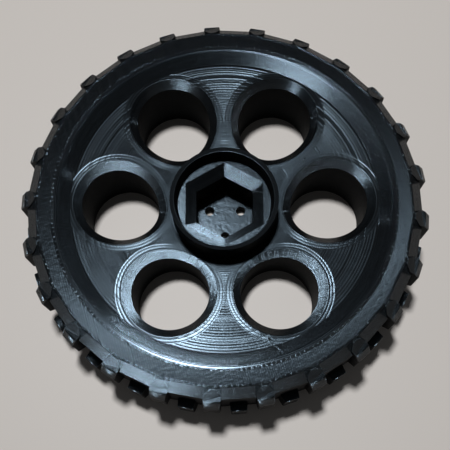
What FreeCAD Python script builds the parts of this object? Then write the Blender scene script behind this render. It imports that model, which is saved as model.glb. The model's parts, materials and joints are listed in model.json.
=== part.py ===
import FreeCAD, Part
import math
import os
import Sketcher

# Wheel of a robotic mower, printed in one piece and lying on its flat inner side.
# The wheel axis is Z and the flat side is z = 0; one of the six large holes points along +X.
# Lengths are millimetres and angles are degrees.

SIZES = [
    ("tread_width", 44.0, "width of the wheel"),
    ("lug_tip_diameter", 210.0, "diameter over the lug tips"),
    ("lug_count", 25, "lugs in each of the two rows, and flats on the tread"),
    ("lug_height", 4.6, "lug tip above the middle of a tread flat"),
    ("lug_tip_width", 7.8, "width of a lug across its outer face"),
    ("lug_flank_angle", 8.0, "lean of the two flanks of a lug"),
    ("lug_embed", 5.0, "how far a lug reaches into the rim"),
    ("lug_reach", 24.0, "length of a lug from its own side of the wheel"),
    ("lug_crown_run", 2.7, "lug tip inwards to the edge of the lug's end face"),
    ("lug_crown_drop", 3.6, "side of the wheel down to that edge"),
    ("lug_tip_drop", 7.5, "side of the wheel down to the start of the outer face"),
    ("shoulder_run", 5.0, "width of the strip between the rim's flat side and a tread flat"),
    ("shoulder_drop", 4.4, "height of that strip"),
    ("rim_flat_width", 8.4, "width of the rim's flat side"),
    ("bevel_run", 7.8, "width of the bevel inside the rim"),
    ("bevel_drop", 5.7, "height of that bevel"),
    ("web_drop", 15.3, "fall of the domed web from the bevel to the hub"),
    ("hub_diameter", 56.0, "outside of the hub ring"),
    ("hub_setback", 3.0, "hub ring below the side of the wheel"),
    ("hub_lip", 2.4, "width of the hub ring's top"),
    ("recess_depth", 9.0, "depth of the hub recess"),
    ("recess_taper", 1.3, "inward lean of the recess wall"),
    ("hex_flats", 30.0, "hexagon socket across flats"),
    ("hex_land", 0.8, "recess floor left outside the lead-in at a corner of the hexagon"),
    ("hex_floor", 7.0, "thickness under the hexagon socket"),
    ("screw_circle", 20.0, "pitch circle diameter of the screw holes"),
    ("screw_hole", 5.3, "screw hole diameter"),
    ("screw_count", 3, "screw holes"),
    ("screw_start", 30.0, "angle of the first screw hole"),
    ("window_count", 6, "large holes through the web"),
    ("window_chamfer", 4.0, "chamfer round the top of a large hole"),
    ("window_gap", 7.5, "web left between two neighbouring chamfers"),
    ("window_rim_land", 1.2, "web left between a chamfer and the bevel"),
    ("window_hub_land", 3.0, "web left between a chamfer and the hub ring"),
]

DERIVED = [
    ("half_pitch", "180 / lug_count", "half the angle between two lugs"),
    ("tip_radius", "lug_tip_diameter / 2", "axis to a lug tip"),
    ("face_radius", "tip_radius - lug_height", "axis to the middle of a tread flat"),
    ("tread_corner", "face_radius / cos(half_pitch * 1 deg)", "axis to a corner of the tread"),
    ("side_radius", "face_radius - shoulder_run", "axis to an edge of the rim's flat side"),
    ("flat_corner", "side_radius / cos(half_pitch * 1 deg)", "axis to a corner of that side"),
    ("rim_inner_radius", "side_radius - rim_flat_width", "inner edge of the rim's flat side"),
    ("crease_radius", "rim_inner_radius - bevel_run", "foot of the bevel"),
    ("crease_height", "tread_width - bevel_drop", "height of the foot of the bevel"),
    ("hub_radius", "hub_diameter / 2", "outside of the hub ring"),
    ("hub_top", "tread_width - hub_setback", "top of the hub ring"),
    ("web_foot", "crease_height - web_drop", "height of the web at the hub ring"),
    ("recess_mouth", "hub_radius - hub_lip", "radius of the recess mouth"),
    ("recess_radius", "recess_mouth - recess_taper", "radius of the recess floor"),
    ("recess_floor", "hub_top - recess_depth", "height of the recess floor"),
    ("hex_corner", "hex_flats / 2 / cos(30 deg)", "axis to a corner of the hexagon"),
    ("hex_lead_in", "(recess_radius - hex_land - hex_corner) * cos(30 deg)", "chamfer of the hexagon"),
    ("window_outer", "crease_radius - window_rim_land", "outermost reach of a window chamfer"),
    ("window_inner", "hub_radius + window_hub_land", "innermost reach of a window chamfer"),
    ("window_centre", "(window_outer + window_inner) / 2", "axis to the centre of a large hole"),
    ("window_across", "window_outer - window_inner", "room for a chamfered hole across the web"),
    ("window_step", "2 * window_centre * sin(180 deg / window_count)", "centre of one hole to the next"),
    ("window_along", "window_step - window_gap", "room for a chamfered hole along the web"),
    ("window_bore", "min(window_across; window_along) - 2 * window_chamfer", "large hole diameter"),
]

TOLERANCE = 1e-3
OVERRUN = 5.0
FULL_TURN = 360
ACROSS_AXIS = -1
UP_AXIS = -2
ORIGIN_POINT = (-1, 1)
START, END, CENTRE = 1, 2, 3
NORMAL = FreeCAD.Vector(0, 0, 1)

doc = FreeCAD.newDocument("mower_wheel")

sheet = doc.addObject("Spreadsheet::Sheet", "sizes")
rows = [(alias, str(value), note) for alias, value, note in SIZES]
rows += [(alias, f"={formula}", note) for alias, formula, note in DERIVED]
for row, (alias, content, note) in enumerate(rows, start=1):
    sheet.set(f"A{row}", note)
    sheet.set(f"B{row}", content)
    sheet.setAlias(f"B{row}", alias)
    doc.recompute()

wheel = doc.addObject("PartDesign::Body", "wheel")
wheel.Label = "wheel"
wheel.Placement = FreeCAD.Placement()


def size(alias):
    return float(getattr(sheet, alias))


def origin(role):
    return next(item for item in wheel.Origin.OriginFeatures if item.Role == role)


def bind(feature, formulas):
    for path, formula in formulas.items():
        feature.setExpression(path, formula)


def settle(feature):
    wheel.Tip = feature
    doc.recompute()
    if {"Invalid", "Error"} & set(feature.State) or feature.Shape.isNull():
        raise RuntimeError(f"{feature.Name} did not build: {feature.State}")
    return feature


def attach(feature, plane, height="0 mm", turn="0 deg"):
    """Lay a feature on an origin plane, moved along and turned about the plane's normal."""
    feature.AttachmentSupport = [(origin(plane), "")]
    feature.MapMode = "FlatFace"
    feature.AttachmentOffset = FreeCAD.Placement(FreeCAD.Vector(), FreeCAD.Rotation(NORMAL, 1))
    bind(feature, {".AttachmentOffset.Base.z": height, ".AttachmentOffset.Rotation.Angle": turn})


def new_sketch(name, plane, height="0 mm", turn="0 deg"):
    sketch = wheel.newObject("Sketcher::SketchObject", name)
    attach(sketch, plane, height, turn)
    return sketch


def amount(formula):
    found = wheel.evalExpression(formula)
    return float(getattr(found, "Value", found))


def pin(sketch, place, across, up):
    """Hold one sketch point at two formulas measured from the origin."""
    for kind, axis, formula in (("DistanceX", UP_AXIS, across), ("DistanceY", ACROSS_AXIS, up)):
        if formula == "0":
            sketch.addConstraint(Sketcher.Constraint("PointOnObject", *place, axis))
            continue
        index = sketch.addConstraint(Sketcher.Constraint(kind, *ORIGIN_POINT, *place, amount(formula)))
        sketch.setExpression(f"Constraints[{index}]", formula)


def draw(sketch, corners, closed=True):
    """Draw straight lines through corners, each a pair of formulas over the sizes."""
    spots = [FreeCAD.Vector(amount(across), amount(up), 0) for across, up in corners]
    last = len(spots) if closed else len(spots) - 1
    lines = [sketch.addGeometry(Part.LineSegment(spots[n], spots[(n + 1) % len(spots)]), False)
             for n in range(last)]
    for before, after in zip(lines, lines[1:] + lines[:1] if closed else lines[1:]):
        sketch.addConstraint(Sketcher.Constraint("Coincident", before, END, after, START))
    for line, (across, up) in zip(lines, corners):
        pin(sketch, (line, START), across, up)
    if not closed:
        pin(sketch, (lines[-1], END), *corners[-1])
    return lines


def turn_away(name, sketch):
    """Cut the sketched section away all round the axis."""
    cut = wheel.newObject("PartDesign::Groove", name)
    cut.Profile = sketch
    cut.ReferenceAxis = (origin("Z_Axis"), [""])
    cut.Angle = FULL_TURN
    return settle(cut)


def repeat(name, feature, count):
    ring = wheel.newObject("PartDesign::PolarPattern", name)
    ring.Originals = [feature]
    ring.Axis = (origin("Z_Axis"), [""])
    ring.Angle = FULL_TURN
    bind(ring, {"Occurrences": count})
    return settle(ring)


def names(base, wanted):
    """Names of the edges of a feature that a test picks out."""
    return [f"Edge{n}" for n, edge in enumerate(base.Shape.Edges, start=1) if wanted(edge)]


def bevel(name, base, edges, size_formula, other_formula=None):
    cut = wheel.newObject("PartDesign::Chamfer", name)
    cut.Base = (base, edges)
    bind(cut, {"Size": size_formula})
    if other_formula:
        cut.ChamferType = "Two distances"
        bind(cut, {"Size2": other_formula})
    return settle(cut)


def near(first, second):
    return abs(first - second) < TOLERANCE


def level(edge):
    """Height of an edge that lies flat, or None."""
    box = edge.BoundBox
    return box.ZMin if box.ZLength < TOLERANCE else None


def drill(name, sketch, across, up, bore):
    """Cut a round hole down through everything below the sketch."""
    spot = FreeCAD.Vector(amount(across), amount(up), 0)
    circle = sketch.addGeometry(Part.Circle(spot, NORMAL, amount(bore) / 2), False)
    pin(sketch, (circle, CENTRE), across, up)
    index = sketch.addConstraint(Sketcher.Constraint("Diameter", circle, amount(bore)))
    sketch.setExpression(f"Constraints[{index}]", bore)
    doc.recompute()
    hole = wheel.newObject("PartDesign::Pocket", name)
    hole.Profile = sketch
    hole.Type = "ThroughAll"
    return settle(hole)


# The tread is a prism with one flat per lug, with a narrow sloped strip along both of its sides.
tread = wheel.newObject("PartDesign::AdditivePrism", "tread")
attach(tread, "XY_Plane", turn="sizes.half_pitch * 1 deg")
bind(tread, {
    "Polygon": "sizes.lug_count",
    "Circumradius": "sizes.tread_corner",
    "Height": "sizes.tread_width",
})
settle(tread)

strip_edges = names(tread, lambda edge: level(edge) is not None)
shoulder = bevel("shoulder", tread, strip_edges, "sizes.shoulder_drop", "sizes.shoulder_run")
pitch = math.radians(2 * size("half_pitch"))
side_area = size("lug_count") * size("flat_corner") ** 2 * math.sin(pitch) / 2
sides = [face for face in shoulder.Shape.Faces if abs(face.normalAt(0, 0).z) > 0.99]
if any(abs(face.Area - side_area) > TOLERANCE * side_area for face in sides):
    raise RuntimeError("the run and the drop of the shoulder strip are the wrong way round")

# Two rows of lugs: the upper row stands on the corners of the tread, the lower row halfway between.
LUG_ROOT = "(sizes.face_radius - sizes.lug_embed)"
LUG_TIP_HALF = "(sizes.lug_tip_width / 2)"
LUG_ROOT_HALF = f"({LUG_TIP_HALF} + (sizes.tip_radius - {LUG_ROOT}) * tan(sizes.lug_flank_angle * 1 deg))"


def lug_row(row, foot, turn):
    plan = new_sketch(f"{row}_lug_plan", "XY_Plane", foot, turn)
    draw(plan, [
        (LUG_ROOT, f"-{LUG_ROOT_HALF}"),
        ("sizes.tip_radius", f"-{LUG_TIP_HALF}"),
        ("sizes.tip_radius", LUG_TIP_HALF),
        (LUG_ROOT, LUG_ROOT_HALF),
    ])
    doc.recompute()
    lug = wheel.newObject("PartDesign::Pad", f"{row}_lug")
    lug.Profile = plan
    bind(lug, {"Length": "sizes.lug_reach"})
    settle(lug)
    repeat(f"{row}_lugs", lug, "sizes.lug_count")


lug_row("lower", "0 mm", "0 deg")
lug_row("upper", "sizes.tread_width - sizes.lug_reach", "sizes.half_pitch * 1 deg")


# The end of each lug slopes away from the side of the rim, and more steeply near its tip.
def lug_crown(row, side, below):
    """Trim the lug ends of one row; below turns a depth under that side into a height."""
    section = new_sketch(f"{row}_crown_section", "XZ_Plane")
    draw(section, [
        ("sizes.flat_corner", side),
        ("sizes.tip_radius - sizes.lug_crown_run", below("sizes.lug_crown_drop")),
        ("sizes.tip_radius", below("sizes.lug_tip_drop")),
        (f"sizes.tip_radius + {OVERRUN}", below("sizes.lug_tip_drop")),
        (f"sizes.tip_radius + {OVERRUN}", below(f"-{OVERRUN}")),
        ("sizes.flat_corner", below(f"-{OVERRUN}")),
    ])
    doc.recompute()
    turn_away(f"{row}_crown", section)


lug_crown("lower", "0", lambda depth: depth)
lug_crown("upper", "sizes.tread_width", lambda depth: f"sizes.tread_width - ({depth})")

# One section cuts the bevel inside the rim, the domed web, the hub ring and its recess.
dish = new_sketch("dish_section", "YZ_Plane")
inside = draw(dish, [
    ("sizes.hub_radius", "sizes.web_foot"),
    ("sizes.hub_radius", "sizes.hub_top"),
    ("sizes.recess_mouth", "sizes.hub_top"),
    ("sizes.recess_radius", "sizes.recess_floor"),
    ("0", "sizes.recess_floor"),
    ("0", f"sizes.tread_width + {OVERRUN}"),
    ("sizes.rim_inner_radius", f"sizes.tread_width + {OVERRUN}"),
    ("sizes.rim_inner_radius", "sizes.tread_width"),
    ("sizes.crease_radius", "sizes.crease_height"),
], closed=False)
web_span = size("crease_radius") - size("hub_radius")
web_radius = (web_span ** 2 + size("web_drop") ** 2) / (2 * size("web_drop"))
web_circle = Part.Circle(
    FreeCAD.Vector(size("crease_radius"), size("crease_height") - web_radius, 0), NORMAL, web_radius)
web_start = math.pi / 2
web_end = web_start + math.atan2(web_span, web_radius - size("web_drop"))
dome = dish.addGeometry(Part.ArcOfCircle(web_circle, web_start, web_end), False)
dish.addConstraint(Sketcher.Constraint("Coincident", inside[-1], END, dome, START))
dish.addConstraint(Sketcher.Constraint("Coincident", dome, END, inside[0], START))
dish.addConstraint(Sketcher.Constraint("Vertical", dome, START, dome, CENTRE))
doc.recompute()
turn_away("dish", dish)

# Hexagon socket with its flats facing +X and -X, and the sloped lead-in round its mouth.
socket = wheel.newObject("PartDesign::SubtractivePrism", "hex_socket")
attach(socket, "XY_Plane", "sizes.hex_floor", "30 deg")
socket.Polygon = 6
bind(socket, {"Circumradius": "sizes.hex_corner", "Height": "sizes.recess_floor - sizes.hex_floor"})
settle(socket)


def is_hex_mouth(edge):
    height = level(edge)
    if height is None or not near(height, size("recess_floor")) or len(edge.Vertexes) != 2:
        return False
    return all(near(math.hypot(v.X, v.Y), size("hex_corner")) for v in edge.Vertexes)


bevel("hex_mouth", socket, names(socket, is_hex_mouth), "sizes.hex_lead_in")

# Screw holes through the floor of the socket.
screw_plan = new_sketch("screw_plan", "XY_Plane", "sizes.hex_floor", "sizes.screw_start * 1 deg")
screw = drill("screw_hole", screw_plan, "sizes.screw_circle / 2", "0", "sizes.screw_hole")
repeat("screw_holes", screw, "sizes.screw_count")

# Large round holes through the web, each with a chamfer that follows the dome.
window_plan = new_sketch("window_plan", "XY_Plane", f"sizes.tread_width + {OVERRUN}")
window = drill("window", window_plan, "sizes.window_centre", "0", "sizes.window_bore")
windows = repeat("windows", window, "sizes.window_count")


def is_window_face(face):
    if face.Surface.TypeId != "Part::GeomCylinder":
        return False
    return near(face.Surface.Radius, size("window_bore") / 2)


window_edges = [edge for face in windows.Shape.Faces if is_window_face(face) for edge in face.Edges]


def is_window_mouth(edge):
    if edge.BoundBox.ZMin < TOLERANCE or edge.Curve.TypeId == "Part::GeomLine":
        return False
    return any(edge.isSame(other) for other in window_edges)


bevel("window_mouths", windows, names(windows, is_window_mouth), "sizes.window_chamfer")

doc.recompute()
for item in doc.Objects:
    if {"Invalid", "Error"} & set(item.State):
        raise RuntimeError(f"{item.Name} is in error: {item.State}")
if wheel.Shape.isNull() or not wheel.Shape.isValid() or len(wheel.Shape.Solids) != 1:
    raise RuntimeError("the wheel is not one valid solid")

os.makedirs("parts", exist_ok=True)
wheel.Shape.exportStep(f"parts/{wheel.Label}.step")
print(wheel.Label, "volume", round(wheel.Shape.Volume), "box", wheel.Shape.BoundBox)
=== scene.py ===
# %% [markdown]
# A drive wheel of a robotic mower, printed in one piece from black filament and lying on its flat inner
# side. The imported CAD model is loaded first. It is the fixed frame of this lesson: the wheel's axis is Z,
# its inner side is at z = 0, and one of its six large windows points along +X. Every length below is in
# metres. A wheel could be sculpted freely over that frame, but a wheel follows rules, so here all of it
# is worked out.

# %% Load the frame
import json
import math

import bmesh
import bpy
from mathutils import Matrix, Vector


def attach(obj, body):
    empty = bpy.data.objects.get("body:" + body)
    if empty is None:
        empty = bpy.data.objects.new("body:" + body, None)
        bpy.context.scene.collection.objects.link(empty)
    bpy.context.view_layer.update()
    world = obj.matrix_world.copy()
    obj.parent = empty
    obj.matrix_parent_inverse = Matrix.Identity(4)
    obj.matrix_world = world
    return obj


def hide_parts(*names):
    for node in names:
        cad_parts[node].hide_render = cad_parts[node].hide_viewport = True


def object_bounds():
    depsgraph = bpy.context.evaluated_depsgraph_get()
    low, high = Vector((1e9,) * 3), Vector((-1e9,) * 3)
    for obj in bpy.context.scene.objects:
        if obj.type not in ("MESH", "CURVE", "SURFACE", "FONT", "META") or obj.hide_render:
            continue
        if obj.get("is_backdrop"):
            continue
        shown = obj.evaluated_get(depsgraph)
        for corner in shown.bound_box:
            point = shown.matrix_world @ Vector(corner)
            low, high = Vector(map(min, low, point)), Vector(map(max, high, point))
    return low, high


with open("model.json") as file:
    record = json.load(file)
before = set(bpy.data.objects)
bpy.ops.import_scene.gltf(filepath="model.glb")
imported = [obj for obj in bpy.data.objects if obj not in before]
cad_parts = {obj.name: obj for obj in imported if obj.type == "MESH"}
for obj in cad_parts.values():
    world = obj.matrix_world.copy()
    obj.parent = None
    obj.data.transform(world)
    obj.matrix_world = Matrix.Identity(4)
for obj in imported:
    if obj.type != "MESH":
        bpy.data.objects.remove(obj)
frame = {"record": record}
cad_low, cad_high = (list(corner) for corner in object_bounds())
print("CAD box", cad_low, cad_high)

# %% [markdown]
# The tread is a ring of 25 flats with a sloped shoulder at each side, and the rim's flat side leads over
# a bevel to the crease where the web begins. The frame's box gives the width and the radius of the lug
# tips. The others are sizes that a maker would take from the print with a caliper. Each radius is worked
# out from the one outside it, because then one changed size carries on inwards.

# %% Sizes of the tread and the rim
MM = 0.001
WIDTH = cad_high[2]
TIP_RADIUS = cad_high[0]
LUG_COUNT = 25
HALF_PITCH = math.pi / LUG_COUNT
LUG_HEIGHT = 4.6 * MM
SHOULDER_RUN = 5.0 * MM
SHOULDER_DROP = 4.4 * MM
RIM_FLAT = 8.4 * MM
BEVEL_RUN = 7.8 * MM
BEVEL_DROP = 5.7 * MM

FACE_RADIUS = TIP_RADIUS - LUG_HEIGHT
SIDE_RADIUS = FACE_RADIUS - SHOULDER_RUN
RIM_INNER = SIDE_RADIUS - RIM_FLAT
CREASE_RADIUS = RIM_INNER - BEVEL_RUN
CREASE_HEIGHT = WIDTH - BEVEL_DROP
print("tread flats at", round(FACE_RADIUS / MM, 2), "mm, crease at", round(CREASE_RADIUS / MM, 2), "mm")

# %% [markdown]
# The web falls from the crease to the foot of the hub ring. The ring has a recess, and in the recess
# floor lies the hexagon socket with three screw holes. The frame's record of the screw mount holds their
# number, their size and the height of the socket floor, so those are read from it and not written again.

# %% Sizes of the web and the hub
HUB_RADIUS = 28.0 * MM
HUB_SETBACK = 3.0 * MM
HUB_WALL = 2.4 * MM
RECESS_DEPTH = 9.0 * MM
RECESS_TAPER = 1.3 * MM
WEB_DROP = 15.3 * MM

HUB_TOP = WIDTH - HUB_SETBACK
WEB_FOOT = CREASE_HEIGHT - WEB_DROP
RECESS_MOUTH = HUB_RADIUS - HUB_WALL
RECESS_RADIUS = RECESS_MOUTH - RECESS_TAPER
RECESS_FLOOR = HUB_TOP - RECESS_DEPTH

screws = next(mount for mount in frame["record"]["mounts"] if mount["name"] == "hub_screws")
SCREW_COUNT = screws["dims"]["count"]
SCREW_RADIUS = screws["dims"]["hole_r_mm"] * MM
SCREW_CIRCLE = screws["dims"]["pcd_mm"] / 2 * MM
SOCKET_FLOOR = screws["pos_m"][2]
print("web foot at", round(WEB_FOOT / MM, 2), "mm, socket floor at", round(SOCKET_FLOOR / MM, 2), "mm")

# %% [markdown]
# The camera stands where the photograph was taken from: high over the near side of the wheel, looking
# down. A Track To constraint could aim it, but it leaves no room for the slight roll of a camera held in
# the hand. A matrix made of the three directions right, up and back keeps that roll as one plain number.

# %% Camera
CAMERA_AIM = Vector((-0.12 * MM, -0.77 * MM, 0))
CAMERA_DISTANCE = 395.8 * MM
CAMERA_AZIMUTH = -88.03
CAMERA_ELEVATION = 70.86
CAMERA_ROLL = math.radians(-2.41)
CAMERA_LENS = 56.0
SENSOR_WIDTH = 36.0


def direction(azimuth, elevation):
    """Unit vector towards a place in the sky, both angles in degrees."""
    turn, lift = math.radians(azimuth), math.radians(elevation)
    return Vector((math.cos(lift) * math.cos(turn), math.cos(lift) * math.sin(turn), math.sin(lift)))


back = direction(CAMERA_AZIMUTH, CAMERA_ELEVATION)
level_right = Vector((0, 0, 1)).cross(back).normalized()
level_up = back.cross(level_right)
right = level_right * math.cos(CAMERA_ROLL) + level_up * math.sin(CAMERA_ROLL)
stance = Matrix((right, back.cross(right), back)).transposed().to_4x4()
stance.translation = CAMERA_AIM + back * CAMERA_DISTANCE

camera = bpy.data.objects.new("camera", bpy.data.cameras.new("camera"))
camera.data.lens = CAMERA_LENS
camera.data.sensor_width = SENSOR_WIDTH
camera.data.clip_start = 10 * MM
camera.matrix_world = stance
bpy.context.scene.collection.objects.link(camera)
bpy.context.scene.camera = camera
print("camera at", [round(value, 4) for value in camera.location])

# %% [markdown]
# The web is a shallow dome, and it is where a print shows best how it was made. It slopes so little that
# each layer ends in a visible step, wide apart near the rim and close together near the hub. Bump in a
# material could fake that, but the steps are real, so the section has them: for every layer, the radius
# where the dome passes it, and there the rounded outline of one bead.

# %% Steps of the web
LAYER = 0.3 * MM
FULL_BEAD = 0.9 * MM
# The bead's outline: how far outwards and how far down each point lies, in millimetres.
BEAD = [(0.34, 0.0), (0.20, 0.012), (0.09, 0.05), (-0.02, 0.15), (0.03, 0.3)]
WEB_RUN = CREASE_RADIUS - HUB_RADIUS
WEB_RADIUS = (WEB_RUN ** 2 + WEB_DROP ** 2) / (2 * WEB_DROP)
WEB_CENTRE = CREASE_HEIGHT - WEB_RADIUS
TOP_LAYER = math.floor(CREASE_HEIGHT / LAYER)
FOOT_LAYER = math.ceil(WEB_FOOT / LAYER)


def web_height(radius):
    return WEB_CENTRE + math.sqrt(WEB_RADIUS ** 2 - (CREASE_RADIUS - radius) ** 2)


def web_reach(height):
    """Radius at which the dome has this height."""
    return CREASE_RADIUS - math.sqrt(WEB_RADIUS ** 2 - (height - WEB_CENTRE) ** 2)


def stepped_web():
    """The web from the crease inwards to the hub, one step down at the inner end of every layer."""
    points = [(CREASE_RADIUS, TOP_LAYER * LAYER)]
    for layer in range(TOP_LAYER, FOOT_LAYER, -1):
        top = layer * LAYER
        edge = web_reach(top)
        tread = web_reach(top + LAYER) - edge if layer < TOP_LAYER else FULL_BEAD
        width = MM * min(1.0, tread / FULL_BEAD)
        points += [(edge + out * width, top - down * MM) for out, down in BEAD]
    return points + [(HUB_RADIUS, points[-1][1])]


web = stepped_web()
print("steps on the web", TOP_LAYER - FOOT_LAYER)

# %% [markdown]
# The wheel is a turned shape first: one section swept round the axis. The section runs from the axis
# along the underside, up the tread, over the rim and the web to the hub, and back to the axis on the
# recess floor. Two of its edges are round on the print. A Bevel modifier would round them after the cuts
# and meet the windows' edges, so the arcs are put into the section, where they are two short formulas.

# %% Section of the wheel
LIP_ROUND = 0.45 * MM
RIM_ROUND = 4.0 * MM


def lip_round(corner, before, after, parts=3):
    """The recess lip: one corner of the section replaced by a short curve."""
    corner, before, after = Vector(corner), Vector(before), Vector(after)
    start = corner + (before - corner).normalized() * LIP_ROUND
    end = corner + (after - corner).normalized() * LIP_ROUND
    for part in range(parts + 1):
        t = part / parts
        yield tuple(start * (1 - t) ** 2 + corner * 2 * t * (1 - t) + end * t ** 2)


def rim_round(parts=10):
    """The arc from the rim's flat side, where it lies level, down to where the straight bevel begins."""
    below = BEVEL_DROP - RIM_ROUND
    lean = math.atan2(below, BEVEL_RUN) + math.asin(RIM_ROUND / math.hypot(BEVEL_RUN, below))
    for part in range(parts + 1):
        turn = lean * part / parts
        yield RIM_INNER - RIM_ROUND * math.sin(turn), WIDTH - RIM_ROUND * (1 - math.cos(turn))


crease = (CREASE_RADIUS, CREASE_HEIGHT)
tread_side = [
    (0, 0),
    (SIDE_RADIUS, 0),
    (FACE_RADIUS, SHOULDER_DROP),
    (FACE_RADIUS, WIDTH - SHOULDER_DROP),
    (SIDE_RADIUS, WIDTH),
]
hub_edge = (HUB_RADIUS, HUB_TOP)
recess_lip = (RECESS_MOUTH, HUB_TOP)
recess_foot = (RECESS_RADIUS, RECESS_FLOOR)
hub_side = [hub_edge, *lip_round(recess_lip, hub_edge, recess_foot), recess_foot, (0, RECESS_FLOOR)]
section = tread_side + list(rim_round()) + [crease] + web + hub_side
print("section points", len(section))

# %% [markdown]
# Three screw holes go through the floor of the socket. A cylinder primitive would do as a cutter, but the
# socket, the windows, the lugs and the strand all need other sections, so one function makes them all as
# a stack of rings: the same number of points on every level, joined level by level and closed at both
# ends. The screw cutter is the simplest stack. It begins below the wheel and ends above the socket floor,
# because a boolean can fail on faces that coincide.

# %% Screw cutter
BEYOND = 5 * MM
SCREW_SIDES = 40


def stack_of_rings(name, rings):
    shape = bmesh.new()
    levels = [[shape.verts.new(point) for point in ring] for ring in rings]
    for lower, upper in zip(levels, levels[1:]):
        for n in range(len(lower)):
            after = (n + 1) % len(lower)
            shape.faces.new((lower[n], lower[after], upper[after], upper[n]))
    shape.faces.new(reversed(levels[0]))
    shape.faces.new(levels[-1])
    bmesh.ops.recalc_face_normals(shape, faces=shape.faces)
    mesh = bpy.data.meshes.new(name)
    shape.to_mesh(mesh)
    shape.free()
    return bpy.data.objects.new(name, mesh)


def circle(radius, height, count, centre):
    turns = [2 * math.pi * n / count for n in range(count)]
    return [(centre + radius * math.cos(turn), radius * math.sin(turn), height) for turn in turns]


screw_cutter = stack_of_rings("screw_cutter", [
    circle(SCREW_RADIUS, height, SCREW_SIDES, SCREW_CIRCLE)
    for height in (-BEYOND, SOCKET_FLOOR + BEYOND)
])
print("screw cutter faces", len(screw_cutter.data.polygons))

# %% [markdown]
# The hub takes a hexagon adapter: a hexagon socket with flats facing +X and -X and a lead-in of 45
# degrees round its mouth. The lead-in leaves a narrow land at the corners. Its width follows from the
# recess, so the socket still fits when the recess changes.

# %% Socket cutter
HEX_FLATS = 30.0 * MM
HEX_LAND = 0.8 * MM
HEX_COSINE = math.cos(math.pi / 6)
LEAD_IN = (RECESS_RADIUS - HEX_LAND) * HEX_COSINE - HEX_FLATS / 2
OVERSHOOT = 0.6 * MM


def hexagon(grow, height):
    corner = (HEX_FLATS / 2 + grow) / HEX_COSINE
    turns = [math.pi / 6 + math.pi / 3 * n for n in range(6)]
    return [(corner * math.cos(turn), corner * math.sin(turn), height) for turn in turns]


socket_cutter = stack_of_rings("socket_cutter", [
    hexagon(0, SOCKET_FLOOR),
    hexagon(0, RECESS_FLOOR - LEAD_IN),
    hexagon(LEAD_IN, RECESS_FLOOR),
    hexagon(LEAD_IN + OVERSHOOT, RECESS_FLOOR + OVERSHOOT),
])
print("lead-in", round(LEAD_IN / MM, 2), "mm")

# %% [markdown]
# Six large windows lighten the web. Each has straight walls and a chamfer that follows the dome, so the
# edge of its mouth dips towards the hub. A level cone as a cutter would give a chamfer of uneven width.
# Here each point of a ring takes its height from the dome below it, and the chamfer is equally wide all
# round.

# %% Window cutter
WINDOW_COUNT = 6
WINDOW_CENTRE = 54.5 * MM
WINDOW_RADIUS = 19.5 * MM
WINDOW_CHAMFER = 4.0 * MM
WINDOW_MOUTH = WINDOW_RADIUS + WINDOW_CHAMFER
WINDOW_SIDES = 120


def dome_ring(radius, rise):
    """A ring round the window's centre that keeps the same height over the dome."""
    ring = []
    for x, y, _ in circle(radius, 0, WINDOW_SIDES, WINDOW_CENTRE):
        ring.append((x, y, web_height(min(math.hypot(x, y), CREASE_RADIUS)) + rise))
    return ring


wall_edge = dome_ring(WINDOW_RADIUS, -WINDOW_CHAMFER)
over_mouth = []
for low, top in zip(wall_edge, dome_ring(WINDOW_MOUTH, 0)):
    up_the_chamfer = (Vector(top) - Vector(low)).normalized()
    over_mouth.append(tuple(Vector(top) + up_the_chamfer * OVERSHOOT))
window_cutter = stack_of_rings("window_cutter", [
    circle(WINDOW_RADIUS, -BEYOND, WINDOW_SIDES, WINDOW_CENTRE),
    wall_edge,
    over_mouth,
    [(x, y, WIDTH + BEYOND) for x, y, _ in over_mouth],
])
print("window cutter faces", len(window_cutter.data.polygons))

# %% [markdown]
# A lug of the lower row points along +X. It grows out of the rim's corner through a narrow neck, its end
# slopes off from the side of the rim, and it falls more steeply near the tip. Here the rings stand one
# behind the other on the way out: each is an upright rectangle with its own width and its own drop from
# the side of the wheel.

# %% Lug
LUG_NECK_WIDTH = 2.8 * MM
LUG_ROOT_WIDTH = 8.8 * MM
LUG_TIP_WIDTH = 7.8 * MM
LUG_CROWN_WIDTH = 1.08 * LUG_TIP_WIDTH
LUG_REACH = 24.0 * MM
LUG_CROWN_RADIUS = TIP_RADIUS - 2.7 * MM
LUG_CROWN_DROP = 3.6 * MM
LUG_TIP_DROP = 7.5 * MM
LUG_BURIED = 5.0 * MM
NECK_END = 0.3 * MM
ROOT_END = 3.0 * MM
FLAT_CORNER = SIDE_RADIUS / math.cos(HALF_PITCH)
LUG_SLOPE = LUG_CROWN_DROP / (LUG_CROWN_RADIUS - FLAT_CORNER)


def lug_ring(radius, width, drop):
    half = width / 2
    corners = [(-half, drop), (half, drop), (half, LUG_REACH), (-half, LUG_REACH)]
    return [(radius, across, height) for across, height in corners]


lug = stack_of_rings("lug", [
    lug_ring(FACE_RADIUS - LUG_BURIED, LUG_NECK_WIDTH, NECK_END),
    lug_ring(FLAT_CORNER + NECK_END, LUG_NECK_WIDTH, NECK_END * LUG_SLOPE),
    lug_ring(FLAT_CORNER + ROOT_END, LUG_ROOT_WIDTH, ROOT_END * LUG_SLOPE),
    lug_ring(LUG_CROWN_RADIUS, LUG_CROWN_WIDTH, LUG_CROWN_DROP),
    lug_ring(TIP_RADIUS, LUG_TIP_WIDTH, LUG_TIP_DROP),
])
print("lug faces", len(lug.data.polygons))

# %% [markdown]
# Filament never makes a sharp corner, so the lug's outer edges get a small bevel. A Bevel modifier on the
# finished wheel would round every edge. Done here on the one lug, before it is copied, it touches only
# the edges that stand out of the tread and turn by more than a slight angle.

# %% Rounded edges of the lug
LUG_BEVEL = 0.5 * MM
SLIGHT_ANGLE = 0.2

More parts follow.
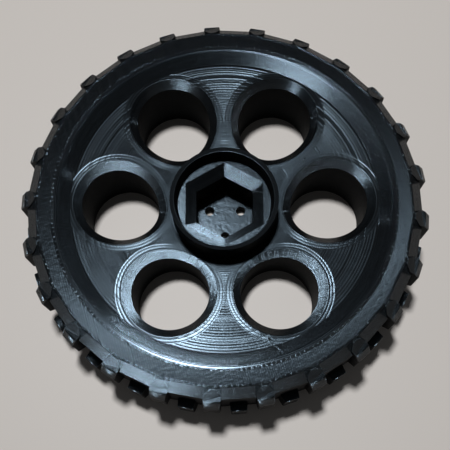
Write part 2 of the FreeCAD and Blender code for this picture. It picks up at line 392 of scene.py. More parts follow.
shape = bmesh.new()
shape.from_mesh(lug.data)
outer_edges = []
for edge in shape.edges:
    stands_out = min(vert.co.x for vert in edge.verts) > FACE_RADIUS
    if stands_out and edge.calc_face_angle() > SLIGHT_ANGLE:
        outer_edges.append(edge)
bmesh.ops.bevel(shape, geom=outer_edges, offset=LUG_BEVEL, segments=2, profile=0.5, affect="EDGES")
shape.to_mesh(lug.data)
shape.free()
print("rounded lug faces", len(lug.data.polygons))

# %% [markdown]
# Where the nozzle crossed from a window to the rim it left a thin strand of filament, over the crease and
# up the bevel. A curve with a round bevel would look like a wire. The strand is squashed and lumpy, so it
# is a stack of flat rings along a line, thicker and thinner by turns, and later it is joined to the wheel
# as the lugs are.

# %% Stray strand
STRAND_WIDTH = 0.65 * MM
STRAND_HEIGHT = 0.3 * MM
STRAND_LIFT = 0.15 * MM
STRAND_SIDES = 10
STRAND_STEPS = 24
STRAND_START = (286.3, 74.2 * MM)
STRAND_END = (289.2, 85.0 * MM)
LUMP_MEAN, LUMP_SWING, LUMP_TURNS = 0.75, 0.25, 40
POINTED_END = 0.3


def surface_height(radius):
    """Height of the web or the bevel at a radius near the crease."""
    if radius < CREASE_RADIUS:
        return web_height(radius)
    path = [crease] + list(rim_round())[::-1]
    for (inner, low), (outer, high) in zip(path, path[1:]):
        if radius <= outer:
            return low + (high - low) * (radius - inner) / (outer - inner)
    return WIDTH


def strand_ring(share):
    degrees, radius = (a + (b - a) * share for a, b in zip(STRAND_START, STRAND_END))
    turn = math.radians(degrees)
    lump = LUMP_MEAN + LUMP_SWING * math.sin(share * LUMP_TURNS)
    lump *= 1 if 0 < share < 1 else POINTED_END
    height = surface_height(radius) + STRAND_LIFT
    spot = Vector((math.cos(turn) * radius, math.sin(turn) * radius, height))
    aside = Vector((-math.sin(turn), math.cos(turn), 0)) * STRAND_WIDTH * lump
    upward = Vector((0, 0, STRAND_HEIGHT * lump))
    sides = [2 * math.pi * n / STRAND_SIDES for n in range(STRAND_SIDES)]
    return [spot + aside * math.cos(side) + upward * math.sin(side) for side in sides]


strand = stack_of_rings("strand", [strand_ring(n / STRAND_STEPS) for n in range(STRAND_STEPS + 1)])
print("strand points", len(strand.data.vertices))

# %% [markdown]
# The finishes and the wheel itself are node trees. They could be drawn by hand in the editor, but built
# in the script they take their numbers from the sizes above. A few helpers keep that readable: place adds
# a node and feeds its inputs with values or with other nodes' outputs, calc does one step of arithmetic,
# and the others are short forms for what comes up again and again.

# %% Helpers for node trees
def place(tree, kind, inputs=None, **settings):
    node = tree.nodes.new(kind)
    for name, value in settings.items():
        setattr(node, name, value)
    for key, value in (inputs or {}).items():
        socket = node.inputs[key]
        if isinstance(value, bpy.types.NodeSocket):
            tree.links.new(value, socket)
        else:
            socket.default_value = value
    return node


def calc(tree, operation, *terms):
    return place(tree, "ShaderNodeMath", dict(enumerate(terms)), operation=operation).outputs[0]


def split(tree, vector):
    """The x, y and z of a vector."""
    return place(tree, "ShaderNodeSeparateXYZ", {0: vector}).outputs


def reach(tree, x, y):
    """How far a point of a plane lies from the origin."""
    return calc(tree, "SQRT", calc(tree, "ADD", calc(tree, "MULTIPLY", x, x), calc(tree, "MULTIPLY", y, y)))


def pick(tree, choice, at_zero, at_one):
    return place(tree, "ShaderNodeMix", {0: choice, 2: at_zero, 3: at_one}).outputs[0]


def new_tree(name, kind, inputs, outputs):
    """A node tree with named inputs and outputs, each given as a name and a socket type."""
    tree = bpy.data.node_groups.new(name, kind)
    for label, socket_type in inputs:
        tree.interface.new_socket(label, in_out="INPUT", socket_type=socket_type)
    for label, socket_type in outputs:
        tree.interface.new_socket(label, in_out="OUTPUT", socket_type=socket_type)
    return tree, tree.nodes.new("NodeGroupInput").outputs, tree.nodes.new("NodeGroupOutput").inputs


print("helpers", [helper.__name__ for helper in (place, calc, split, reach, pick, new_tree)])

# %% [markdown]
# Every finish asks where on the wheel a point lies: how far from the axis, at which turn and how high.
# That is worked out from Object coordinates, which stay with the piece, in one shader group that all
# finishes share.

# %% Place on the wheel
def numbers(*names):
    return [(name, "NodeSocketFloat") for name in names]


def wheel_place_group():
    tree, given, made = new_tree("wheel place", "ShaderNodeTree", [("Point", "NodeSocketVector")],
                                 numbers("Radius", "Turn", "Height"))
    x, y, z = split(tree, given["Point"])
    tree.links.new(reach(tree, x, y), made["Radius"])
    tree.links.new(calc(tree, "ARCTAN2", y, x), made["Turn"])
    tree.links.new(z, made["Height"])
    return tree


wheel_place = wheel_place_group()
print("group", wheel_place.name, [item.name for item in wheel_place.interface.items_tree])

# %% [markdown]
# All of the print is one bead of filament laid in rows, so one group draws rows of beads, and the
# finishes differ in which way the rows run: level round the walls, along the outlines on the web, straight
# across the flat sides. Across is the distance at right angles to the rows, and a high Squareness
# flattens the beads. Chance is one random value for each row, because no two rows of a print come out
# quite alike. A Wave texture has no such value per row.

# %% Rows of filament
SQUARE_BEAD = 4.0


def bead_rows_group():
    tree, given, made = new_tree("bead rows", "ShaderNodeTree", numbers("Across", "Pitch", "Squareness"),
                                 numbers("Relief", "Chance"))
    tree.interface.items_tree["Squareness"].default_value = SQUARE_BEAD
    rows = calc(tree, "DIVIDE", given["Across"], given["Pitch"])
    aside = calc(tree, "SUBTRACT", calc(tree, "MULTIPLY", calc(tree, "FRACT", rows), 2.0), 1.0)
    fallen = calc(tree, "POWER", calc(tree, "ABSOLUTE", aside), given["Squareness"])
    row = calc(tree, "FLOOR", rows)
    chance = place(tree, "ShaderNodeTexWhiteNoise", {"W": row}, noise_dimensions="1D")
    tree.links.new(calc(tree, "SUBTRACT", 1.0, fallen), made["Relief"])
    tree.links.new(chance.outputs["Value"], made["Chance"])
    return tree


bead_rows = bead_rows_group()
print("group", bead_rows.name, [item.name for item in bead_rows.interface.items_tree])

# %% [markdown]
# On the web the nozzle follows the outlines: rows run round each window, and further away along the
# crease and round the hub. This group gives the distance to the outline that a point belongs to. The six
# windows are alike, so the turn is wrapped into one sector and only one window has to be measured.

# %% Distance to an outline
ROWS_BESIDE_WINDOW = 3.5 * MM
HALF_SECTOR = math.pi / WINDOW_COUNT


def outline_distance_group():
    tree, given, made = new_tree("outline distance", "ShaderNodeTree", numbers("Radius", "Turn"),
                                 numbers("Distance", "Window"))
    radius = given["Radius"]
    sector = calc(tree, "WRAP", given["Turn"], HALF_SECTOR, -HALF_SECTOR)
    along = calc(tree, "MULTIPLY", radius, calc(tree, "COSINE", sector))
    aside = calc(tree, "MULTIPLY", radius, calc(tree, "SINE", sector))
    from_centre = reach(tree, calc(tree, "SUBTRACT", along, WINDOW_CENTRE), aside)
    to_window = calc(tree, "SUBTRACT", from_centre, WINDOW_MOUTH)
    to_crease = calc(tree, "SUBTRACT", CREASE_RADIUS, radius)
    to_hub = calc(tree, "SUBTRACT", radius, HUB_RADIUS)
    beside_window = calc(tree, "LESS_THAN", to_window, ROWS_BESIDE_WINDOW)
    elsewhere = calc(tree, "MINIMUM", to_crease, to_hub)
    tree.links.new(pick(tree, beside_window, elsewhere, to_window), made["Distance"])
    tree.links.new(to_window, made["Window"])
    return tree


outline_distance = outline_distance_group()
print("group", outline_distance.name, [item.name for item in outline_distance.interface.items_tree])

# %% [markdown]
# On a slope the layers form stairs: nearly level treads, round edges and steep risers. Real steps would
# need hundreds of thousands of faces on the bevel, the chamfers and the lugs, so here they are a height
# for Bump. The tread catches the lamp, not the slope as a whole, and that is why such slopes shine where
# a smooth one would be dark. Fall bends the tread down towards its edge, and Curl keeps the bend near the
# edge.

# %% Stairs of layers
RISER = 1.03


def stairs_group():
    tree, given, made = new_tree("stairs", "ShaderNodeTree",
                                 numbers("Height", "Layer", "Roundness", "Fall", "Curl"),
                                 numbers("Relief", "Chance"))
    layers = calc(tree, "DIVIDE", given["Height"], given["Layer"])
    within = calc(tree, "FRACT", layers)
    to_next = calc(tree, "SUBTRACT", 1.0, within)
    fall = calc(tree, "MULTIPLY", calc(tree, "POWER", to_next, given["Curl"]), given["Fall"])
    tread = calc(tree, "MULTIPLY", to_next, calc(tree, "SUBTRACT", 1.0, fall))
    riser = calc(tree, "MULTIPLY", within, RISER)
    step = calc(tree, "SMOOTH_MIN", riser, tread, given["Roundness"])
    layer = calc(tree, "FLOOR", layers)
    chance = place(tree, "ShaderNodeTexWhiteNoise", {"W": layer}, noise_dimensions="1D")
    tree.links.new(calc(tree, "MULTIPLY", step, given["Layer"]), made["Relief"])
    tree.links.new(chance.outputs["Value"], made["Chance"])
    return tree


stairs = stairs_group()
print("group", stairs.name, [item.name for item in stairs.interface.items_tree])

# %% [markdown]
# The filament is a black plastic with a slightly cool shine. All finishes share that: a Principled shader
# with the same tint of the reflection, a base colour that changes a little from row to row, and a Bump
# node for the rows. A class keeps the shared nodes, and each finish adds only its own rows. What is the
# same all over a surface is set on the shader's sockets, and only what changes comes in through a link.

# %% Black filament
FILAMENT = (0.006, 0.0062, 0.0066)
DARK_ROW = (*(0.6 * value for value in FILAMENT), 1)
LIGHT_ROW = (*(1.4 * value for value in FILAMENT), 1)
COOL_SHINE = (0.62, 0.83, 1.0, 1)
PLASTIC_GLOSS = 0.375


class FilamentFinish:
    def __init__(self, name, gloss=PLASTIC_GLOSS):
        self.material = bpy.data.materials.new(name)
        self.material.use_nodes = True
        self.tree = self.material.node_tree
        self.shader = self.tree.nodes["Principled BSDF"]
        self.shader.inputs["Specular Tint"].default_value = COOL_SHINE
        self.shader.inputs["Specular IOR Level"].default_value = gloss
        self.point = place(self.tree, "ShaderNodeTexCoord").outputs["Object"]
        self.where = self.group(wheel_place, {"Point": self.point})

    def group(self, group, inputs):
        return place(self.tree, "ShaderNodeGroup", inputs, node_tree=group).outputs

    def rows(self, across, pitch, squareness=SQUARE_BEAD):
        return self.group(bead_rows, {"Across": across, "Pitch": pitch, "Squareness": squareness})

    def calc(self, operation, *terms):
        return calc(self.tree, operation, *terms)

    def noise(self, level, upright=None):
        """Noise with so many features per metre, and a number of its own for the upright direction."""
        scale = (level, level, upright or level)
        spot = place(self.tree, "ShaderNodeMapping", {"Vector": self.point, "Scale": scale}).outputs[0]
        return place(self.tree, "ShaderNodeTexNoise", {"Vector": spot, "Scale": 1.0}).outputs[0]

    def blend(self, *parts):
        """Sum of weighted values."""
        total = 0.0
        for value, weight in parts:
            total = self.calc("MULTIPLY_ADD", value, weight, total)
        return total

    def done(self, height, roughness, shade):
        bump = place(self.tree, "ShaderNodeBump", {"Height": height, "Distance": 1.0, "Strength": 1.0})
        colour = place(self.tree, "ShaderNodeMix", {0: shade, 6: DARK_ROW, 7: LIGHT_ROW}, data_type="RGBA")
        self.tree.links.new(bump.outputs[0], self.shader.inputs["Normal"])
        self.tree.links.new(roughness, self.shader.inputs["Roughness"])
        self.tree.links.new(colour.outputs[2], self.shader.inputs["Base Color"])
        return self.material


print("filament shades", [round(value, 4) for value in (*DARK_ROW[:3], *LIGHT_ROW[:3])])

# %% [markdown]
# The upright walls show the layers one above the other, with faint streaks along them. The fine grooves
# between the layers swallow most of the shine, so the walls are the dullest part of the print. A low
# specular level does that in the shader without hundreds of modelled grooves.

# %% Wall finish
WALL_GLOSS = 0.04


def wall_print():
    finish = FilamentFinish("wall_print", WALL_GLOSS)
    layers = finish.rows(finish.where["Height"], LAYER)
    streaks = finish.noise(90, upright=2200)
    grain = finish.noise(1600)
    height = finish.blend((layers["Relief"], 0.05 * MM), (streaks, 0.008 * MM), (grain, 0.002 * MM))
    roughness = finish.blend((streaks, 0.1), (1.0, 0.5))
    return finish.done(height, roughness, layers["Chance"])


wall_finish = wall_print()
print("finish", wall_finish.name, "nodes", len(wall_finish.node_tree.nodes))

# %% [markdown]
# Slopes carry the stairs. The height of a step is measured along the surface's own normal, so on a
# steeper face the same step stands further out, and the relief is divided by how far the face looks
# upwards. A lean of 1 makes the back of each tread level. A lower one tips it downhill. The draught tips
# the treads of faces that look towards +Y a little more. It is a guess from where the print shines, as if
# air had cooled that side faster. The bevel, the lug ends, the chamfers, the lead-in and the strand are
# the same finish with different numbers.

# %% Slope finishes
EDGE_ROUNDNESS = 0.06
STEEPEST = 0.55


def slope_print(name, lean, sheen, grain_height, fall=0.52, curl=1.0, draught=0.0):
    finish = FilamentFinish(name)
    layers = finish.group(stairs, {
        "Height": finish.where["Height"],
        "Layer": LAYER,
        "Roundness": EDGE_ROUNDNESS,
        "Fall": fall,
        "Curl": curl,
    })
    facing = place(finish.tree, "ShaderNodeNewGeometry").outputs["True Normal"]
    _, ahead, upward = split(finish.tree, facing)
    tipped = finish.calc("MULTIPLY_ADD", finish.calc("MAXIMUM", ahead, 0.0), -draught, lean)
    stand = finish.calc("DIVIDE", tipped, finish.calc("MAXIMUM", upward, STEEPEST))
    steps = finish.calc("MULTIPLY", layers["Relief"], stand)
    streaks = finish.noise(90, upright=2200)
    grain = finish.noise(1600)
    height = finish.blend((steps, 1.0), (streaks, 0.003 * MM), (grain, grain_height))
    roughness = finish.blend((streaks, 0.06), (1.0, sheen))
    return finish.done(height, roughness, layers["Chance"])


bent_tread = {"fall": 0.63, "curl": 1.8}
flat_tread = {"fall": 0.63, "curl": 3.0}
bevel_finish = slope_print("slope_print", lean=1.0, sheen=0.08, grain_height=0.009 * MM, draught=0.12)
edge_finish = slope_print("edge_print", lean=1.35, sheen=0.1, grain_height=0.013 * MM)
chamfer_finish = slope_print("chamfer_print", lean=1.01, sheen=0.09, grain_height=0.01 * MM,
                             draught=0.25, **bent_tread)
lead_finish = slope_print("lead_print", lean=1.15, sheen=0.07, grain_height=0.006 * MM, **bent_tread)
strand_finish = slope_print("strand_print", lean=1.0, sheen=0.1, grain_height=0.006 * MM, **flat_tread)
slope_finishes = (bevel_finish, edge_finish, chamfer_finish, lead_finish, strand_finish)
print("finishes", [material.name for material in slope_finishes])

# %% [markdown]
# The web is shiny, with rows of different height that run along the outlines and a raised
# bead round each window. The steps of the layers are in the mesh already, so this finish adds only the
# rows on the treads. Close to the hub the treads are too narrow to show rows, and beside the windows the
# rows lie flatter.

# %% Web finish
WEB_ROW = 1.4 * MM
WEB_FINE_ROW = 0.475 * MM
MOUTH_BEAD = 0.7 * MM
ROWS_FROM = 33 * MM
ROWS_FADE = 12 * MM
FLATTER_BESIDE = 0.4


def web_print():
    finish = FilamentFinish("web_print")
    radius = finish.where["Radius"]
    outline = finish.group(outline_distance, {"Radius": radius, "Turn": finish.where["Turn"]})
    rows = finish.rows(outline["Distance"], WEB_ROW, squareness=2.2)
    fine = finish.rows(outline["Distance"], WEB_FINE_ROW, squareness=2.5)
    row_height = finish.blend((rows["Chance"], 0.055 * MM), (1.0, 0.03 * MM))
    row_relief = finish.calc("MULTIPLY", rows["Relief"], row_height)
    laid = finish.blend((row_relief, 1.0), (fine["Relief"], 0.012 * MM))

    fade = finish.calc("MULTIPLY_ADD", radius, 1 / ROWS_FADE, -ROWS_FROM / ROWS_FADE)
    faded = place(finish.tree, "ShaderNodeClamp", {0: fade}).outputs[0]
    beside = finish.calc("LESS_THAN", outline["Window"], ROWS_BESIDE_WINDOW)
    flatter = finish.calc("MULTIPLY_ADD", beside, -FLATTER_BESIDE, 1.0)
    shown = finish.calc("MULTIPLY", laid, finish.calc("MULTIPLY", faded, flatter))

    mouth = finish.rows(outline["Window"], MOUTH_BEAD)
    at_mouth = finish.calc("COMPARE", outline["Window"], MOUTH_BEAD / 2, MOUTH_BEAD / 2)
    mouth_bead = finish.calc("MULTIPLY", mouth["Relief"], at_mouth)
    grain = finish.noise(1500)
    broad = finish.noise(160)
    height = finish.blend((shown, 1.0), (mouth_bead, 0.08 * MM), (grain, 0.007 * MM))
    roughness = finish.blend((broad, 0.06), (beside, 0.02), (1.0, 0.12))
    return finish.done(height, roughness, rows["Chance"])


web_finish = web_print()
print("finish", web_finish.name, "nodes", len(web_finish.node_tree.nodes))

# %% [markdown]
# The flat side of the rim and the floor of the recess are top layers: straight rows laid across, wavy
# where the filling below sags, with two rows along the border of the rim and a bead of dots where the
# nozzle turned round. The border follows the 25 flats outside and the round rim inside, so the distance
# to the nearer of them is used.

# %% Flat finishes
TOP_ROW = 1.05 * MM
BORDER_ROW = 0.6 * MM
BORDER_DOTS = 228
BORDER_GLOSS = 0.7


def flat_print(name, row_direction, row_height, grain_height, sag_height, sheen):
    finish = FilamentFinish(name)
    across = math.radians(row_direction + 90)
    x, y, _ = split(finish.tree, finish.point)
    side = finish.blend((x, math.cos(across)), (y, math.sin(across)))
    rows = finish.rows(side, TOP_ROW)
    fine = finish.rows(side, TOP_ROW / 2)
    raster = finish.blend((rows["Relief"], row_height / 2), (fine["Relief"], row_height))

    radius, turn = finish.where["Radius"], finish.where["Turn"]
    off_middle = finish.calc("WRAP", turn, HALF_PITCH, -HALF_PITCH)
    along_middle = finish.calc("MULTIPLY", radius, finish.calc("COSINE", off_middle))
    to_flat = finish.calc("SUBTRACT", SIDE_RADIUS, along_middle)
    from_rim = finish.calc("SUBTRACT", radius, RIM_INNER)
    border = finish.calc("MINIMUM", to_flat, from_rim)
    on_border = finish.calc("COMPARE", border, BORDER_ROW, BORDER_ROW)
    along = finish.rows(border, BORDER_ROW)
    dots = finish.rows(turn, 2 * math.pi / BORDER_DOTS)
    lines = finish.blend((along["Relief"], 0.05 * MM), (dots["Relief"], 0.03 * MM))

    relief = pick(finish.tree, on_border, raster, lines)
    grain = finish.noise(1500)
    sag = finish.noise(480)
    broad = finish.noise(160)
    height = finish.blend((relief, 1.0), (grain, grain_height), (sag, sag_height))
    roughness = finish.blend((broad, 0.06), (on_border, -BORDER_GLOSS * sheen), (1.0, sheen))
    return finish.done(height, roughness, rows["Chance"])


rim_finish = flat_print("top_print", 107, 0.08 * MM, 0.025 * MM, 0.07 * MM, sheen=0.18)
recess_finish = flat_print("hub_print", 17, 0.02 * MM, 0.012 * MM, 0.09 * MM, sheen=0.16)
print("finishes", rim_finish.name, recess_finish.name)

# %% [markdown]
# The underside was pressed against the printer's bed. Its rows are squeezed almost flat and run at 45
# degrees, as first layers often do, and the bed left a fine even grain.

# %% Bed finish
BED_ROW = 0.5 * MM
DIAGONAL = math.sqrt(0.5)


def bed_print():
    finish = FilamentFinish("bed_print")
    x, y, _ = split(finish.tree, finish.point)
    rows = finish.rows(finish.blend((x, DIAGONAL), (y, DIAGONAL)), BED_ROW)
    grain = finish.noise(900)
    height = finish.blend((rows["Relief"], 0.008 * MM), (grain, 0.006 * MM))
    roughness = finish.blend((grain, 0.15), (1.0, 0.22))
    return finish.done(height, roughness, rows["Chance"])


bed_finish = bed_print()
print("finish", bed_finish.name, "nodes", len(bed_finish.node_tree.nodes))

# %% [markdown]
# The whole wheel follows a rule, so one Geometry Nodes tree makes it. Its named inputs are the sizes and
# the blanks made above. The section comes in as the points of the object that carries the modifier, and
# the lug, the strand and the cutters come in as objects. The same wheel could be made with Screw, Array
# and Boolean modifiers, but that is a long stack on many objects, and a tree shows the order of work in
# one place.

# %% Inputs of the wheel tree
tree, given, made = new_tree("printed wheel", "GeometryNodeTree", [
    ("Section", "NodeSocketGeometry"),
    ("Turn Steps", "NodeSocketInt"),
    ("Flats From", "NodeSocketFloat"),
    ("Lug", "NodeSocketObject"),
    ("Lug Count", "NodeSocketInt"),
    ("Width", "NodeSocketFloat"),
    ("Window", "NodeSocketObject"),
    ("Window Count", "NodeSocketInt"),
    ("Socket", "NodeSocketObject"),
    ("Screw", "NodeSocketObject"),
    ("Screw Count", "NodeSocketInt"),
    ("Screw Start", "NodeSocketFloat"),
    ("Strand", "NodeSocketObject"),
    ("Sharp Angle", "NodeSocketFloat"),
], [("Wheel", "NodeSocketGeometry")])
print("inputs", len(given) - 1)

# %% [markdown]
# The body is a grid that is rolled round the axis. The rows of the grid take their radius and height from
# the section, and the columns are the turn. Beyond a given radius the turn is a polygon with one flat for
# each lug: a point on a flat lies further out the further it is from the flat's middle. Merging by
# distance closes the seam and the two poles. Curve to Mesh could sweep a round section, but not one that
# is round inside and has flats outside.

# %% Rolled body
SEAM = 0.002 * MM


def rolled_section(section, steps, flats, flats_from):
    count = place(tree, "GeometryNodeAttributeDomainSize", {"Geometry": section}).outputs["Point Count"]
    columns = calc(tree, "ADD", steps, 1)
    grid = place(tree, "GeometryNodeMeshGrid", {"Vertices X": columns, "Vertices Y": count}).outputs["Mesh"]
    index = place(tree, "GeometryNodeInputIndex").outputs[0]
    row = calc(tree, "MODULO", index, count)
    column = calc(tree, "FLOOR", calc(tree, "DIVIDE", calc(tree, "ADD", index, 0.5), count))
    position = place(tree, "GeometryNodeInputPosition").outputs[0]
    drawn = place(tree, "GeometryNodeSampleIndex", {"Geometry": section, "Value": position, "Index": row},
                  data_type="FLOAT_VECTOR").outputs[0]
    drawn_radius, _, drawn_height = split(tree, drawn)

    turn = calc(tree, "DIVIDE", calc(tree, "MULTIPLY", column, 2 * math.pi), steps)
    half = calc(tree, "DIVIDE", math.pi, flats)
    off_middle = calc(tree, "WRAP", turn, half, calc(tree, "MULTIPLY", half, -1))
    on_flat = calc(tree, "DIVIDE", drawn_radius, calc(tree, "COSINE", off_middle))
    has_flats = calc(tree, "GREATER_THAN", drawn_radius, flats_from)
    radius = pick(tree, has_flats, drawn_radius, on_flat)
    spot = place(tree, "ShaderNodeCombineXYZ", {
        "X": calc(tree, "MULTIPLY", radius, calc(tree, "COSINE", turn)),
        "Y": calc(tree, "MULTIPLY", radius, calc(tree, "SINE", turn)),
        "Z": drawn_height,
    }).outputs[0]
    rolled = place(tree, "GeometryNodeSetPosition", {"Geometry": grid, "Position": spot}).outputs[0]
    return place(tree, "GeometryNodeMergeByDistance", {"Geometry": rolled, "Distance": SEAM}).outputs[0]


def finish_with(solid, material, faces=True):
    inputs = {"Geometry": solid, "Material": material, "Selection": faces}
    return place(tree, "GeometryNodeSetMaterial", inputs).outputs[0]


body = rolled_section(given["Section"], given["Turn Steps"], given["Lug Count"], given["Flats From"])
body = finish_with(body, wall_finish)
print("nodes for the body", len(tree.nodes))

# %% [markdown]
# Lugs and strand are added to the body. One lug is copied on points round the axis, and the copies are
# made real, because a boolean works on meshes. The upper row is the same lug turned over, half a pitch
# further round. The Manifold solver is quick and leaves a closed mesh, but it mixes up finishes when its
# meshes have different ones, so every solid gets the wall finish before it is joined or cut.

# %% Lugs and strand
def solid_from(socket):
    solid = place(tree, "GeometryNodeObjectInfo", {"Object": socket}).outputs["Geometry"]
    return finish_with(solid, wall_finish)


def ring_of(solid, count, start):
    """Copies of a solid round the axis."""
    points = place(tree, "GeometryNodePoints", {"Count": count}).outputs[0]
    index = place(tree, "GeometryNodeInputIndex").outputs[0]
    share = calc(tree, "DIVIDE", calc(tree, "MULTIPLY", index, 2 * math.pi), count)
    turn = place(tree, "ShaderNodeCombineXYZ", {"Z": calc(tree, "ADD", share, start)}).outputs[0]
    copies = place(tree, "GeometryNodeInstanceOnPoints", {
        "Points": points, "Instance": solid, "Rotation": turn}).outputs[0]
    return place(tree, "GeometryNodeRealizeInstances", {"Geometry": copies}).outputs[0]


def joined(*solids):
    node = place(tree, "GeometryNodeMeshBoolean", operation="UNION", solver="MANIFOLD")
    for solid in solids:
        tree.links.new(solid, node.inputs["Mesh 2"])
    return node.outputs["Mesh"]


lower_lug = solid_from(given["Lug"])
lift = place(tree, "ShaderNodeCombineXYZ", {"Z": given["Width"]}).outputs[0]
upper_lug = place(tree, "GeometryNodeTransform", {
    "Geometry": lower_lug, "Translation": lift, "Rotation": (math.pi, 0, 0)}).outputs[0]
half_pitch = calc(tree, "DIVIDE", math.pi, given["Lug Count"])
body = joined(body, ring_of(lower_lug, given["Lug Count"], 0.0))
body = joined(body, ring_of(upper_lug, given["Lug Count"], half_pitch))
strand_solid = solid_from(given["Strand"])
body = joined(body, strand_solid)
print("nodes with lugs and strand", len(tree.nodes))

# %% [markdown]
# Windows and socket are cut out together, and the screw holes after them, because the screw cutters begin
# inside the socket's space and two cutters of one boolean must not overlap.

# %% Openings
def cut(solid, *cutters):
    node = place(tree, "GeometryNodeMeshBoolean", {"Mesh 1": solid},
                 operation="DIFFERENCE", solver="MANIFOLD")
    for cutter in cutters:
        tree.links.new(cutter, node.inputs["Mesh 2"])
    return node.outputs["Mesh"]


windows = ring_of(solid_from(given["Window"]), given["Window Count"], 0.0)
screw_holes = ring_of(solid_from(given["Screw"]), given["Screw Count"], given["Screw Start"])
body = cut(body, windows, solid_from(given["Socket"]))
body = cut(body, screw_holes)
print("nodes with openings", len(tree.nodes))

# %% [markdown]
# Round surfaces are shaded smooth, and edges that turn by more than the sharp angle stay crisp. Shade
# Auto Smooth does the same with a modifier of its own. Here two nodes do it, and the last instances are
# made real after them.

# %% Shading
def shaded(solid, smooth, domain, selection=True):
    inputs = {"Geometry": solid, "Shade Smooth": smooth, "Selection": selection}
    return place(tree, "GeometryNodeSetShadeSmooth", inputs, domain=domain).outputs[0]


angle = place(tree, "GeometryNodeInputMeshEdgeAngle").outputs["Unsigned Angle"]
sharp = place(tree, "FunctionNodeCompare", {0: angle, 1: given["Sharp Angle"]},
              data_type="FLOAT", operation="GREATER_THAN").outputs[0]
body = shaded(body, True, "FACE")
body = shaded(body, False, "EDGE", sharp)
body = place(tree, "GeometryNodeRealizeInstances", {"Geometry": body}).outputs[0]
print("nodes with shading", len(tree.nodes))

# %% [markdown]
# After the booleans no face remembers which piece it came from, so a face gets its finish from where it
# lies and where it looks: up, down, up a slope, near the dome, inside the recess, outside on the lugs or
# on the strand. Each choice is a field with the value 1 on the faces that it means and 0 elsewhere, so
# two fields multiplied mean both at once.

# %% Where a face lies
LEVEL = 0.99
CHAMFER_LOOK, CHAMFER_SPREAD = 0.7, 0.1
SLOPE_LOOK, SLOPE_SPREAD = 0.62, 0.3795
NEAR_DOME = 1.6 * LAYER
BETWEEN_MARGIN = 0.02 * MM
TOUCHING = 0.005 * MM

x, y, z = split(tree, place(tree, "GeometryNodeInputPosition").outputs[0])
_, _, looks_up = split(tree, place(tree, "GeometryNodeInputNormal").outputs[0])
radius = reach(tree, x, y)
inward = calc(tree, "SUBTRACT", CREASE_RADIUS, radius)
rise = calc(tree, "SQRT", calc(tree, "SUBTRACT", WEB_RADIUS ** 2, calc(tree, "MULTIPLY", inward, inward)))
off_dome = calc(tree, "ABSOLUTE", calc(tree, "SUBTRACT", z, calc(tree, "ADD", rise, WEB_CENTRE)))
close_by = calc(tree, "LESS_THAN", off_dome, NEAR_DOME)
middle = (HUB_RADIUS + CREASE_RADIUS) / 2
between = calc(tree, "COMPARE", radius, middle, WEB_RUN / 2 - BETWEEN_MARGIN)
in_recess = calc(tree, "LESS_THAN", radius, RECESS_RADIUS)
on_rim = calc(tree, "GREATER_THAN", radius, RIM_INNER)
outside = calc(tree, "GREATER_THAN", radius, given["Flats From"])
level_up_faces = calc(tree, "GREATER_THAN", looks_up, LEVEL)
level_down_faces = calc(tree, "LESS_THAN", looks_up, -LEVEL)
sloped = calc(tree, "COMPARE", looks_up, SLOPE_LOOK, SLOPE_SPREAD)
like_chamfer = calc(tree, "COMPARE", looks_up, CHAMFER_LOOK, CHAMFER_SPREAD)
not_chamfer = calc(tree, "SUBTRACT", 1.0, like_chamfer)
strand_skin = place(tree, "GeometryNodeProximity", {0: strand_solid}, target_element="FACES")
on_strand = calc(tree, "LESS_THAN", strand_skin.outputs["Distance"], TOUCHING)
print("nodes with the fields", len(tree.nodes))

# %% [markdown]
# The tree ends with one Set Material node for each finish. A later one covers an earlier one, so the
# general slope comes first, then the slopes that differ from it, then the level faces, the web and the
# strand.

# %% Finish of every face
def both(first, second):
    return calc(tree, "MULTIPLY", first, second)


finish_order = [
    (bevel_finish, sloped),
    (chamfer_finish, both(sloped, between)),
    (lead_finish, both(sloped, in_recess)),
    (edge_finish, both(sloped, outside)),
    (rim_finish, both(level_up_faces, on_rim)),
    (recess_finish, both(level_up_faces, in_recess)),
    (bed_finish, level_down_faces),
    (web_finish, both(both(between, close_by), not_chamfer)),
    (strand_finish, on_strand),
]
for material, faces in finish_order:
    body = finish_with(body, material, faces)
tree.links.new(body, made["Wheel"])
print("nodes in the tree", len(tree.nodes), "finishes", len(finish_order))

# %% [markdown]
# Now the tree runs once. The modifier sits on an object whose points are the section, its inputs are set
# through their identifiers, and the evaluated result becomes a plain mesh. The pattern and the blanks
# have done their work and go. A live modifier would do for a render, but the export needs plain meshes.

# %% Run the tree
TURN_STEPS = 12 * LUG_COUNT
sizes = {
    "Turn Steps": TURN_STEPS,
    "Flats From": (SIDE_RADIUS + RIM_INNER) / 2,
    "Lug": lug,
    "Lug Count": LUG_COUNT,
    "Width": WIDTH,
    "Window": window_cutter,
    "Window Count": WINDOW_COUNT,
    "Socket": socket_cutter,
    "Screw": screw_cutter,
    "Screw Count": SCREW_COUNT,
    "Screw Start": math.radians(30),
    "Strand": strand,
    "Sharp Angle": math.radians(24),
}
section_mesh = bpy.data.meshes.new("wheel_section")
section_mesh.from_pydata([(radius, 0, height) for radius, height in section], [], [])
pattern = bpy.data.objects.new("wheel_pattern", section_mesh)
bpy.context.scene.collection.objects.link(pattern)
modifier = pattern.modifiers.new("printed wheel", "NODES")
modifier.node_group = tree
for item in tree.interface.items_tree:
    if item.in_out == "INPUT" and item.name in sizes:
        modifier[item.identifier] = sizes[item.name]

evaluated = pattern.evaluated_get(bpy.context.evaluated_depsgraph_get())
wheel_mesh = bpy.data.meshes.new_from_object(evaluated)
wheel_mesh.name = "printed_wheel"
for blank in (pattern, lug, window_cutter, socket_cutter, screw_cutter, strand):
    bpy.data.objects.remove(blank)
print("wheel faces", len(wheel_mesh.polygons))

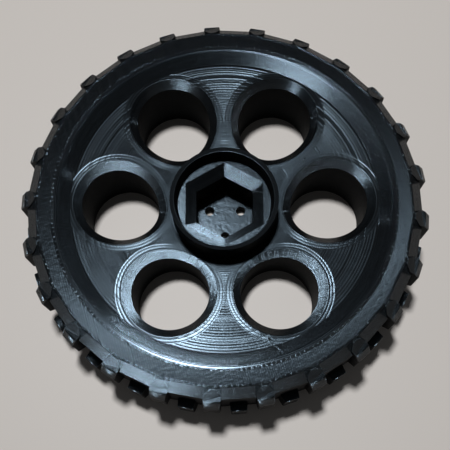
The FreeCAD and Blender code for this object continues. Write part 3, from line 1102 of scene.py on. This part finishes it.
# %% [markdown]
# A printed part is one closed solid, and so should its model be. Before the mesh is handed over it is
# measured: the count of open edges, the volume, which is positive when the faces look outwards, and the
# number of faces of each finish.

# %% Measure the wheel
check = bmesh.new()
check.from_mesh(wheel_mesh)
triangles = sum(len(face.verts) - 2 for face in check.faces)
open_edges = sum(not edge.is_manifold for edge in check.edges)
volume = round(check.calc_volume() / MM ** 3)
print("triangles", triangles, "open edges", open_edges, "volume", volume, "mm3")
face_finishes = [wheel_mesh.materials[face.material_index].name for face in check.faces]
print("faces of each finish", {name: face_finishes.count(name) for name in sorted(set(face_finishes))})
check.free()

# %% [markdown]
# The wheel takes the place of the CAD node named wheel, which is hidden, and rides on the only body. It
# stays at the origin, unturned and unscaled, so its Object coordinates are those of the frame.

# %% Hand the wheel to the frame
wheel = bpy.data.objects.new("printed_wheel", wheel_mesh)
bpy.context.scene.collection.objects.link(wheel)
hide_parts("wheel")
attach(wheel, "root")
print("piece", wheel.name, "size", [round(value, 4) for value in wheel.dimensions])

# %% [markdown]
# The floor is one large pale square under the wheel. Its warm tone sets off the cool black, it shows
# through the windows, and it keeps the wheel's shadow. It is only part of the stage, and the frame is
# told so.

# %% Floor
FLOOR_HALF = 3.0
FLOOR_COLOUR = (0.8, 0.72, 0.65, 1)
FLOOR_ROUGHNESS = 0.5

signs = [(-1, -1), (1, -1), (1, 1), (-1, 1)]
floor_mesh = bpy.data.meshes.new("floor")
floor_mesh.from_pydata([(x * FLOOR_HALF, y * FLOOR_HALF, 0) for x, y in signs], [], [(0, 1, 2, 3)])
floor_finish = bpy.data.materials.new("pale_floor")
floor_finish.use_nodes = True
floor_shader = floor_finish.node_tree.nodes["Principled BSDF"]
floor_shader.inputs["Base Color"].default_value = FLOOR_COLOUR
floor_shader.inputs["Roughness"].default_value = FLOOR_ROUGHNESS
floor_mesh.materials.append(floor_finish)
floor = bpy.data.objects.new("floor", floor_mesh)
bpy.context.scene.collection.objects.link(floor)
floor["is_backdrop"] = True
print("floor", 2 * FLOOR_HALF, "m wide")

# %% [markdown]
# One lamp lights the wheel from behind and high above, as the ceiling lamp of a room does. Black plastic
# is seen almost only by what it mirrors, so the lamp's place decides which rows and steps shine. Several
# large lamps would wash them out. A disk of 20 cm is small enough to keep them apart and large enough for
# soft shadows.

# %% Lamp
LAMP_AZIMUTH = 105
LAMP_ELEVATION = 77.8
LAMP_DISTANCE = 1.8
LAMP_SIZE = 0.2
LAMP_POWER = 21
LAMP_COLOUR = (0.92, 0.96, 1.0)

lamp = bpy.data.lights.new("key", "AREA")
lamp.shape = "DISK"
lamp.size = LAMP_SIZE
lamp.energy = LAMP_POWER
lamp.color = LAMP_COLOUR
lamp_holder = bpy.data.objects.new("key", lamp)
lamp_holder.location = direction(LAMP_AZIMUTH, LAMP_ELEVATION) * LAMP_DISTANCE
lamp_holder.rotation_euler = lamp_holder.location.to_track_quat("Z", "Y").to_euler()
bpy.context.scene.collection.objects.link(lamp_holder)
print("lamp at", [round(value, 3) for value in lamp_holder.location])

# %% [markdown]
# The rest of the room is a weak even light from all around, which keeps the walls from going fully black.
# The Standard view transform shows colours as they are written.

# %% Room light
ROOM_COLOUR = (0.9, 0.95, 1.0, 1)
ROOM_STRENGTH = 0.05

room = bpy.data.worlds.new("room")
room.use_nodes = True
room_light = room.node_tree.nodes["Background"]
room_light.inputs["Color"].default_value = ROOM_COLOUR
room_light.inputs["Strength"].default_value = ROOM_STRENGTH
bpy.context.scene.world = room
bpy.context.scene.view_settings.view_transform = "Standard"
print("room light", ROOM_STRENGTH)
